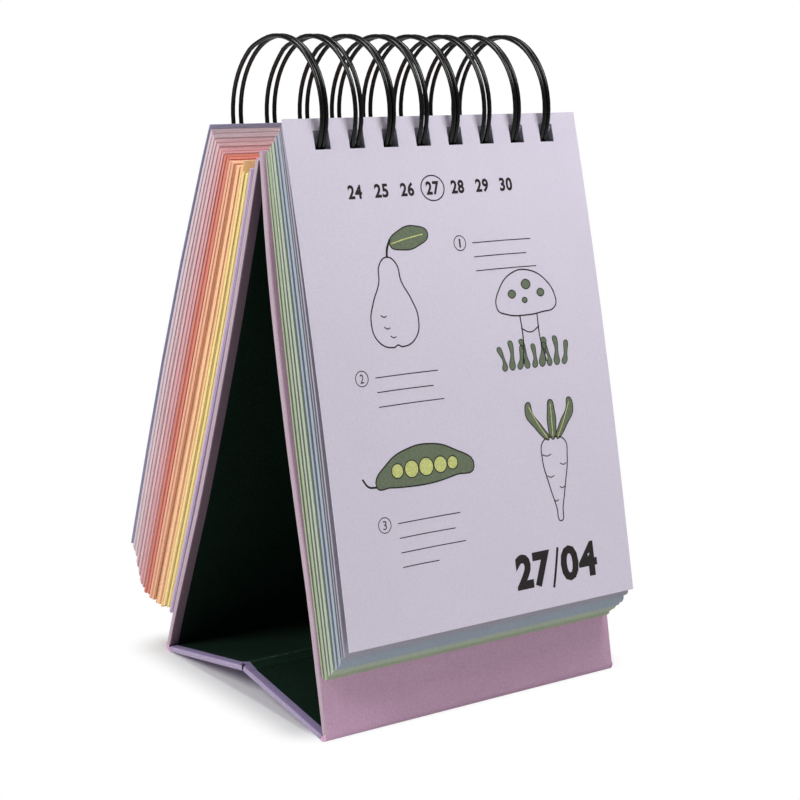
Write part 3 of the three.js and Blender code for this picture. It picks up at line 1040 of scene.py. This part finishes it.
for side, body, spans, template, thickness, feet, bows, aside in (
    (REAR, "easel_rear", rear_spans, rear_template, REAR_SHEET, REAR_FEET, (-2.0, 2.3), 0.0),
    (FRONT, "easel_front", front_spans, front_template, FRONT_SHEET, FRONT_FEET, (-1.3, 1.0), -0.95),
):
    before = 0
    total = sum(span[1] for span in spans)
    for span in spans:
        name, leaves, slot = span[:3]
        sheets = month_sheets(rng, side, span, thickness, before, total, feet, bows, aside)
        before += leaves
        block = stack(f"month_{name}", template, sheets, month_papers[slot])
        if name == "february":
            # February's raised leaves take the paler copy of its paper: painted light
            paint(block, month_papers[slot], month_papers["yellow_paper"], february_painted_light)
            faces = len(block.data.polygons) // leaves
            for face in block.data.polygons:
                leaf = face.index // faces
                raised_end = YELLOW_LEAVES + RAISED_LEAVES
                face.material_index = 1 if leaf < YELLOW_LEAVES else 2 if leaf < raised_end else 0
        soft_edges(block, 30)
        hand_over(block, body, slot, f"leaves_{name}")

# The cover at the back: four stiff leaves of card, cut nearly as wide as the board.
# Some are slid across, slid along or shortened a little
card_template = punched_sheet("card_template", CARD_SHEET, width=PANEL_WIDTH - 0.6)
card_places = []
for k, (across, down, short) in enumerate([
    (0.05, 0.0, 0.1), (-0.1, 0.1, 0), (0.0, -0.1, 0.3), (0.12, 0.05, 0.2),
]):
    out = CARD_STANDOFF - 0.05 + k * 0.45
    card_places.append(sheet_place(REAR, out, out, across, down, 0, 0, short, -2.0))
card = stack("cover_card_leaves", card_template, card_places, card_stock)
soft_edges(card, 30)
hand_over(card, "easel_rear", "cover_card", "cover_card")

# The leaf being read hangs free of the rest, bowed out a little between wire and foot
day_template = punched_sheet("day_leaf_template", DAY_SHEET, [10 + 7 * k for k in range(1, 21)])


def day_curl(x, s):
    """How far the leaf being read stands off its plane."""
    share = s / LEAF_LENGTH
    return (1.35 * math.sin(math.pi * share ** 0.9)
            + 0.18 * math.sin(2.2 * x / LEAF_WIDTH + 0.6) * share * (1 - share) * 2)


def day_point(x, s, lift):
    normal = away_from_board(FRONT, day_down)
    return world(x, day_top + day_down * s + normal * (day_curl(x, s) + lift))


day_leaf = stack(
    "day_leaf", day_template, [lambda co: day_point(co.x, -co.y, co.z - DAY_SHEET)], day_paper)
soft_edges(day_leaf, 30)
hand_over(day_leaf, "front_leaf", "lilac_paper", "front_leaf")
for template in (front_template, rear_template, card_template, day_template):
    bpy.data.objects.remove(template)


# Print on the leaf being read: plain numerals, rules and kitchen-garden line drawings.
# Bench for the print: x from the leaf's left edge, y down from its top, in millimetres.

FILL_LIFT = 0.006
LINE_LIFT = 0.012
TOP_LIFT = 0.02
LINE_HEIGHT = 0.03
print_pieces = []
drawing = {}


def start_drawing(at=(0, 0), about=(0, 0), grow=1.0):
    """Where the next points are counted from, and how much they are enlarged about which spot."""
    drawing.update(at=at, about=about, grow=grow)


def lay_on_leaf(piece, ink, lift):
    """Enlarges a flat piece of print about its drawing's middle and presses it onto the bent leaf."""
    (middle_x, middle_y), grow = drawing["about"], drawing["grow"]
    for point in piece.data.vertices:
        x, y, z = point.co
        x = middle_x + (x - middle_x) * grow
        y = middle_y + (y - middle_y) * grow
        point.co = day_point(x - LEAF_WIDTH / 2, y, lift + z)
    paint(piece, ink)
    mend_normals(piece)
    print_pieces.append(piece)


def smooth_spline(curve, points, closed):
    """Lays a smooth line through the drawing's points into the curve."""
    curve.resolution_u = 6
    spline = curve.splines.new("BEZIER")
    spline.bezier_points.add(len(points) - 1)
    for knot, (x, y) in zip(spline.bezier_points, points):
        knot.co = (x + drawing["at"][0], y + drawing["at"][1], 0)
        knot.handle_left_type = knot.handle_right_type = "AUTO"
    spline.use_cyclic_u = closed


def draw(name, points, width, closed=False, ink=dark_ink, lift=LINE_LIFT):
    """A drawn line of even width through the points."""
    curve = bpy.data.curves.new(name, "CURVE")
    curve.dimensions = "3D"
    curve.bevel_depth = width / 2
    curve.bevel_resolution = 1
    curve.use_fill_caps = True
    smooth_spline(curve, points, closed)
    piece = mesh_from(name, curve)
    for point in piece.data.vertices:
        point.co.z *= LINE_HEIGHT / width
    lay_on_leaf(piece, ink, lift)


def fill(name, points, width, ink=green_ink, lift=FILL_LIFT, line_lift=LINE_LIFT):
    """A filled shape with a smooth outline, which is drawn over it."""
    curve = bpy.data.curves.new(name, "CURVE")
    curve.dimensions = "2D"
    curve.fill_mode = "BOTH"
    curve.extrude = 0.006
    smooth_spline(curve, points, True)
    lay_on_leaf(mesh_from(name, curve), ink, lift)
    draw(f"{name}_outline", points, width, True, lift=line_lift)


def write(name, text, left, baseline, height, width, weight):
    """Plain numerals, set to a height and a width."""
    curve = bpy.data.curves.new(name, "FONT")
    curve.body = text
    curve.size = 1.0
    curve.offset = weight
    curve.extrude = 0.004
    curve.resolution_u = 3
    curve.space_character = 1.08
    piece = mesh_from(name, curve)
    across = [p.co.x for p in piece.data.vertices]
    upwards = [p.co.y for p in piece.data.vertices]
    grow_x = width / (max(across) - min(across))
    grow_y = height / (max(upwards) - min(upwards))
    for point, x, y in zip(piece.data.vertices, across, upwards):
        point.co.x = left + (x - min(across)) * grow_x
        point.co.y = baseline - (y - min(upwards)) * grow_y
    lay_on_leaf(piece, dark_ink, LINE_LIFT)


def round_points(x, y, across, down, count):
    """Points round a circle or an ellipse."""
    turns = [k * 2 * math.pi / count for k in range(count)]
    return [(x + across * math.cos(turn), y + down * math.sin(turn)) for turn in turns]


# Week strip along the top, with a ring round today
start_drawing()
for i in range(7):
    write(f"week_{i}", str(24 + i), 20 + i * 9.9, 24.6, 4.3, 5.2, 0.035)
draw("today_ring", round_points(52.3, 22.45, 4.5, 3.9, 12), 0.4, True)

# Large date
write("date_day", "27", 66.5, 150.0, 11.4, 14.6, 0.05)
draw("date_stroke", [(81.5, 151.0), (83.1, 145.2), (84.7, 138.6)], 0.9)
write("date_month", "04", 85.3, 150.0, 11.4, 15.6, 0.04)

# Pear
start_drawing((31, 56), (31, 56), 1.28)
draw("pear_outline", [
    (0, -10.5), (-2.5, -8.8), (-3.3, -4.6), (-5.6, -0.2), (-7.0, 4.4), (-5.6, 9.0), (-1.2, 10.8),
    (0, 10.3), (1.2, 10.8), (5.6, 9.0), (7.0, 4.4), (5.6, -0.2), (3.3, -4.6), (2.5, -8.8),
], 0.34, True)
draw("pear_stem", [(0, -10.3), (0.5, -12.6), (1.6, -14.6)], 0.6)
fill("pear_leaf", [
    (1.4, -13.4), (4.6, -16.6), (9.6, -17.4), (13.2, -15.4), (9.8, -12.6), (5.2, -11.9),
], 0.3)
draw("pear_leaf_vein", [(1.8, -13.5), (6, -14.4), (11.6, -15.3)], 0.26, ink=light_ink, lift=TOP_LIFT)
for k, (x, y) in enumerate([(-4.0, 3.0), (-3.4, 5.8), (-1.9, 8.0)]):
    draw(f"pear_hatch_{k}", [(x, y), (x + 0.9, y + 0.5), (x + 1.7, y + 0.3)], 0.26)

# Mushroom on a tuft of grass
start_drawing((84, 62), (84, 64), 1.25)
draw("cap_outline", [
    (-10, 0), (-8.2, -5.4), (-3.6, -8.8), (1.4, -9.2), (6.8, -6.6),
    (9.8, -1.6), (9.4, 0.6), (4.6, 1.8), (-1, 2.2), (-7, 1.6),
], 0.34, True)
draw("stem_left", [(-2.9, 2.2), (-2.7, 8), (-3.6, 14.5)], 0.34)
draw("stem_right", [(2.9, 2.1), (2.9, 8), (4.2, 14.5)], 0.34)
draw("stem_ring", [(-3.0, 5.4), (0, 6.6), (3.1, 5.3)], 0.3)
for k, (x, y, r) in enumerate([(-4.6, -3.4, 1.25), (0.4, -5.6, 1.5), (5.0, -3.2, 1.2), (-0.6, -1.6, 0.85)]):
    fill(f"cap_spot_{k}", round_points(x, y, r, r * 0.8, 6), 0.24)
for k in range(9):
    x = -10 + k * 2.5
    side_lean = k % 3 - 1
    short = k % 2
    fill(f"grass_{k}", [
        (x - 0.55, 15.4), (x + 0.3 * side_lean, 13.2 - 1.6 * short),
        (x + 1.5 * side_lean, 9.6 - 1.4 * short), (x + 0.9 + 0.5 * side_lean, 13.0), (x + 0.75, 15.4),
    ], 0.2)

# Pea pod
start_drawing((36, 106), (38, 106), 1.25)
fill("pod", [
    (-15, 3.6), (-11, -1.8), (-5, -4.4), (2, -4.9), (9, -2.9),
    (15.2, 2.4), (9.4, 3.6), (2, 4.6), (-6, 4.6), (-11, 4.2),
], 0.34, line_lift=0.016)
draw("pod_tip", [(-15, 3.6), (-17.4, 3.2), (-19, 1.2)], 0.5)
for k, (x, r) in enumerate([(-8.4, 1.75), (-4.1, 2.1), (0.4, 2.2), (4.8, 2.0), (8.6, 1.6)]):
    fill(f"pea_{k}", round_points(x, 0.5, r, r, 8), 0.26, light_ink, 0.014, 0.022)

# Carrot
start_drawing((88, 112), (88, 112), 1.22)
draw("carrot_outline", [
    (-3.8, -5.8), (0, -6.8), (3.9, -5.6), (4.2, -1.4), (2.6, 5.4),
    (0.8, 11.6), (-0.3, 15.2), (-1.4, 11.4), (-3.2, 5), (-4.5, -1.6),
], 0.34, True)
for k, (x, y, w) in enumerate([
    (-4.3, -2.6, 3.0), (1.4, 0.2, 2.2), (-3.4, 3.0, 2.4), (0.4, 6.2, 1.8), (-2.0, 9.4, 1.6),
]):
    draw(f"carrot_ring_{k}", [(x, y), (x + w / 2, y + 0.5), (x + w, y + 0.2)], 0.26)
for k, (x, lean) in enumerate([(-1.8, -5.4), (0, 0.4), (1.7, 5.2)]):
    fill(f"frond_{k}", [
        (x - 0.35, -6.3), (x + lean * 0.5 - 1.5, -10), (x + lean - 1.3, -13.6), (x + lean, -16.6),
        (x + lean + 1.2, -13.4), (x + lean * 0.5 + 1.3, -9.8), (x + 0.35, -6.3),
    ], 0.28)
    vein = [(x, -6.6), (x + lean * 0.5, -10.6), (x + lean, -15.4)]
    draw(f"frond_vein_{k}", vein, 0.24, ink=light_ink, lift=TOP_LIFT)

# Ringed numbers with ruled lines for notes
start_drawing()
for k, (x, y, lines, left, width) in enumerate([
    (60, 40, 3, 0.3, 0.6), (16, 78, 3, 0.7, 1.4), (18, 122, 4, 0.7, 1.4),
]):
    draw(f"number_ring_{k}", round_points(x, y, 2.3, 2.3, 8), 0.28, True)
    write(f"number_{k}", str(k + 1), x - left, y + 1.35, 2.7, width, 0.0)
    for j, long in enumerate((24, 21.5, 25, 14)[:lines]):
        down = y + j * 4.4
        rule = [(x + 5, down + 0.2), (x + 5 + long / 2, down + 0.1), (x + 5 + long, down + 0.15)]
        draw(f"note_rule_{k}_{j}", rule, 0.3)

by_ink = {}
for piece in print_pieces:
    by_ink.setdefault(piece.data.materials[0].name, []).append(piece)
for ink, pieces in by_ink.items():
    select_only(*pieces)
    bpy.ops.object.join()
    joined = bpy.context.object
    joined.name = f"print_{ink}"
    joined.data.name = joined.name
    hand_over(joined, "front_leaf", "lilac_paper")


# The wire: one line through all the loops, up each left leg, round the tip and down the right leg

def ring_angle_on(side):
    top = side.pivot + side.up * side.length
    down = -side.up
    met = top + down * ring_crossing(top, down)
    angle = math.atan2(met.y - RING_CENTRE.y, met.x - RING_CENTRE.x)
    return angle if angle >= 0 else angle + 2 * math.pi


rear_meeting = ring_angle_on(REAR)
front_meeting = ring_angle_on(FRONT)
rear_slope = abs(math.sin(rear_meeting + BOARD_TILT))
spine_angle = rear_meeting - (WIRE / 2 + SPINE_GAP) / rear_slope / RING - 2 * math.pi
tip_angle = front_meeting + TIP_REACH / RING

# Front spacing of each pair: some loops are pinched nearly shut and others stay open. The
# legs draw together up to an angle round the ring, and the left one has a small kink
FRONT_SPACING = [1.56, 2.1, 1.56, 1.95, 1.6, 2.1, 1.54, 1.6]
PINCH_END = [2.0, 3.1, 2.1, 2.8, 2.2, 3.0, 2.0, 2.9]
KINK = [0.2, 0.4, 0.336, 0.16, 0.24, 0.16, 0.2, 0.12]
SPINE_SPACING = 2.9
LEAN = 0.14
LEG_STEPS = 56
CORNER_STEPS = 5
TIP_STEPS = 10


def wire_spot(x, angle, puff=0.0):
    return world(x, RING_CENTRE + Vector((math.cos(angle), math.sin(angle))) * (RING + puff))


def wire_line():
    points = []
    corner = SPINE_CORNER / RING
    leg_start = spine_angle + corner
    for loop, x in enumerate(hole_places):
        front = FRONT_SPACING[loop]
        leg_end = tip_angle - front / 2 / RING

        def leg(hand):
            line = []
            for i in range(LEG_STEPS + 1):
                angle = leg_start + (leg_end - leg_start) * i / LEG_STEPS
                draw_in = smooth_share(angle, math.pi / 6, PINCH_END[loop])
                half = (SPINE_SPACING + (front - SPINE_SPACING) * draw_in) / 2
                lean = -LEAN * loop * smooth_share(angle, math.pi / 6, math.pi)
                puff = 0.0
                if hand < 0:
                    puff = KINK[loop] * (math.exp(-((angle - 0.9) / 0.12) ** 2)
                                         - 0.6 * math.exp(-((angle - 1.15) / 0.14) ** 2))
                line.append(wire_spot(x + hand * half + lean, angle, puff))
            return line

        def turn_corner(hand):
            line = []
            for i in range(CORNER_STEPS):
                turn = i / CORNER_STEPS * math.pi / 2
                line.append(wire_spot(
                    x + hand * (SPINE_SPACING / 2 + SPINE_CORNER * (1 - math.sin(turn))),
                    spine_angle + corner * (1 - math.cos(turn))))
            return line

        tip = []
        for i in range(1, TIP_STEPS):
            turn = i / TIP_STEPS * math.pi
            tip.append(wire_spot(
                x - LEAN * loop - front / 2 * math.cos(turn),
                leg_end + front / 2 * math.sin(turn) / RING))
        points += turn_corner(-1) + leg(-1) + tip + leg(1)[::-1] + turn_corner(1)[::-1]
    return points


line = wire_line()
curve = bpy.data.curves.new("binding_wire_coated", "CURVE")
curve.dimensions = "3D"
curve.bevel_depth = WIRE / 2 * MM
curve.bevel_resolution = 3
curve.use_fill_caps = True
spline = curve.splines.new("POLY")
spline.points.add(len(line) - 1)
for knot, spot in zip(spline.points, line):
    knot.co = (*spot, 1)
wire = mesh_from("binding_wire_coated", curve)
paint(wire, wire_coating)
mend_normals(wire)
soft_edges(wire, 60)
hand_over(wire, "binding", "wire", "binding_wire")


# Floor, light and camera

def floor_material():
    """Matt white table. It keeps the object's shadow, and away from the object it is seen plain white."""
    made, tree, spots = new_material("white_table")
    tone = ramp(tree, noise(tree, spots["Object"], 10 / 3, 2.0), (0.0, "#F7F7F7"), (1.0, "#FCFCFC"))
    matt = add_node(tree, "ShaderNodeBsdfDiffuse", {}, {"Color": tone})
    glow = add_node(tree, "ShaderNodeEmission", {"Color": (1, 1, 1, 1), "Strength": FLOOR_GLOW})
    # Painted shade: close to the object the table is seen in a darker grey instead of white
    shade_grey = add_node(tree, "ShaderNodeBsdfDiffuse", {"Color": linear("#D8D8D8")})
    near = add_node(tree, "ShaderNodeAddShader", {}, {0: shade_grey.outputs[0], 1: glow.outputs[0]})
    plain = add_node(tree, "ShaderNodeEmission", {"Color": (1, 1, 1, 1), "Strength": 1.0})
    # Distance from the ground that the base covers
    spot = spots["Object"]
    for operation, by in (
        ("ADD", (0.0, 0.002, 0.0)),
        ("ABSOLUTE", (0.0, 0.0, 0.0)),
        ("SUBTRACT", (0.056, 0.038, 0.0)),
        ("MAXIMUM", (0.0, 0.0, 0.0)),
    ):
        settings = {"operation": operation, 1: by}
        spot = add_node(tree, "ShaderNodeVectorMath", settings, {0: spot}).outputs["Vector"]
    away = add_node(tree, "ShaderNodeVectorMath", {"operation": "LENGTH"}, {0: spot})
    share = add_node(tree, "ShaderNodeMapRange", {
        "interpolation_type": "SMOOTHSTEP", "From Min": 0.0, "From Max": 0.017,
    }, {"Value": away.outputs["Value"]})
    shown = add_node(tree, "ShaderNodeMixShader", {}, {
        0: share.outputs["Result"], 1: near.outputs[0], 2: plain.outputs[0],
    })
    rays = add_node(tree, "ShaderNodeLightPath")
    seen = add_node(tree, "ShaderNodeMixShader", {}, {
        0: rays.outputs["Is Camera Ray"], 1: matt.outputs[0], 2: shown.outputs[0],
    })
    add_node(tree, "ShaderNodeOutputMaterial", {}, {"Surface": seen.outputs[0]})
    return made


nothing_selected()
bpy.ops.mesh.primitive_plane_add(size=60, location=(0, 0, 0))
floor = bpy.context.object
floor.name = "table_top"
floor.data.materials.append(floor_material())

world_sky = bpy.data.worlds.new("studio")
bpy.context.scene.world = world_sky
world_sky.use_nodes = True
tree = world_sky.node_tree
tree.nodes.clear()
rays = add_node(tree, "ShaderNodeLightPath")
soft = add_node(tree, "ShaderNodeBackground", {"Color": (1, 1, 1, 1), "Strength": SKY})
white = add_node(tree, "ShaderNodeBackground", {"Color": (1, 1, 1, 1), "Strength": 1.0})
mixed = add_node(tree, "ShaderNodeMixShader", {}, {
    0: rays.outputs["Is Camera Ray"], 1: soft.outputs[0], 2: white.outputs[0],
})
add_node(tree, "ShaderNodeOutputWorld", {}, {"Surface": mixed.outputs[0]})


def lamp(name, place, target, size, power):
    data = bpy.data.lights.new(name, "AREA")
    data.shape = "DISK"
    data.size = size
    data.energy = power
    obj = bpy.data.objects.new(name, data)
    bpy.context.scene.collection.objects.link(obj)
    obj.location = place
    obj.rotation_euler = (Vector(target) - Vector(place)).to_track_quat("-Z", "Y").to_euler()


lamp("key", (0.3, -0.36, 0.1), (0.02, -0.03, 0.04), 0.2, KEY)
lamp("fill", (-0.85, 0.13, 0.74), (0, 0, 0.1), 0.6, FILL)
lamp("top", (0.1, -0.2, 0.48), (0.01, -0.01, 0.15), 0.2, TOP)
lamp("overhead", (-0.08, 0.12, 0.62), (0, 0.01, 0.18), 0.2, OVERHEAD)

# The camera, fitted to the photograph by the boards' corners, the feet, the crease and the holes
CAMERA_PLACE = (-0.39083, -0.49862, 0.23907)
CAMERA_TURNS = (38.55, 13.47, 2.91)
LENS = 89.64

camera_data = bpy.data.cameras.new("view")
camera_data.sensor_width = 36
camera_data.lens = LENS
camera_data.clip_start = 0.01
camera = bpy.data.objects.new("view", camera_data)
bpy.context.scene.collection.objects.link(camera)
yaw, pitch, roll = [math.radians(turn) for turn in CAMERA_TURNS]
ahead = Vector((math.sin(yaw) * math.cos(pitch), math.cos(yaw) * math.cos(pitch), -math.sin(pitch)))
right = Vector((math.cos(yaw), -math.sin(yaw), 0))
above = right.cross(ahead)
right_rolled = right * math.cos(roll) + above * math.sin(roll)
above_rolled = above * math.cos(roll) - right * math.sin(roll)
turned = Matrix((right_rolled, above_rolled, -ahead)).transposed()
camera.matrix_world = Matrix.Translation(CAMERA_PLACE) @ turned.to_4x4()
bpy.context.scene.camera = camera
bpy.context.scene.view_settings.view_transform = "Standard"

nothing_selected()
